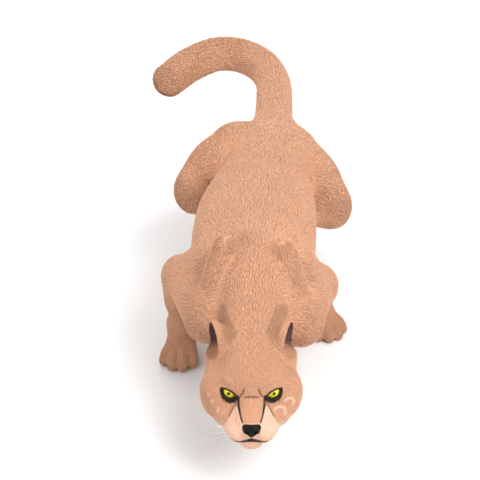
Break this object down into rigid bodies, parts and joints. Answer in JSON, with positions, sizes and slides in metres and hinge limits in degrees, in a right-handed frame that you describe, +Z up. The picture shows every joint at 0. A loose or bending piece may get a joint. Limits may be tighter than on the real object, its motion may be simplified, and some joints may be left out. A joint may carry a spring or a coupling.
{
  "type": "cougar",
  "caption": "Life-size cougar in a low stalk: body slung between bent legs, head forward, shoulder blades raised, tail hooked to its right; short tan coat, small round ears, yellow eyes.",
  "frame": {"origin": "on the floor, under the middle of the whole cougar's box", "axes": "+Z up from the floor; the cougar faces -Y, so +Y runs from its nose to its tail; +X is its left side"},
  "size_m": [0.5646, 1.5724, 0.4422],
  "materials": {
    "coat": "short dense fur, tan",
    "eye": "wet yellow eye",
    "nose": "black nose leather"
  },
  "bodies": {
    "root": {"belly": "coat", "chest": "coat", "ear_left": "coat", "ear_right": "coat", "eye_left": "eye", "eye_right": "eye", "forearm_left": "coat", "forearm_right": "coat", "forepaw_left": "coat", "forepaw_right": "coat", "head": "coat", "hind_foot_left": "coat", "hind_foot_right": "coat", "neck": "coat", "nose": "nose", "rump": "coat", "shank_left": "coat", "shank_right": "coat", "tail_base": "coat", "tail_middle": "coat", "tail_tip": "coat", "thigh_left": "coat", "thigh_right": "coat", "upper_arm_left": "coat", "upper_arm_right": "coat"}
  },
  "joints": []
}
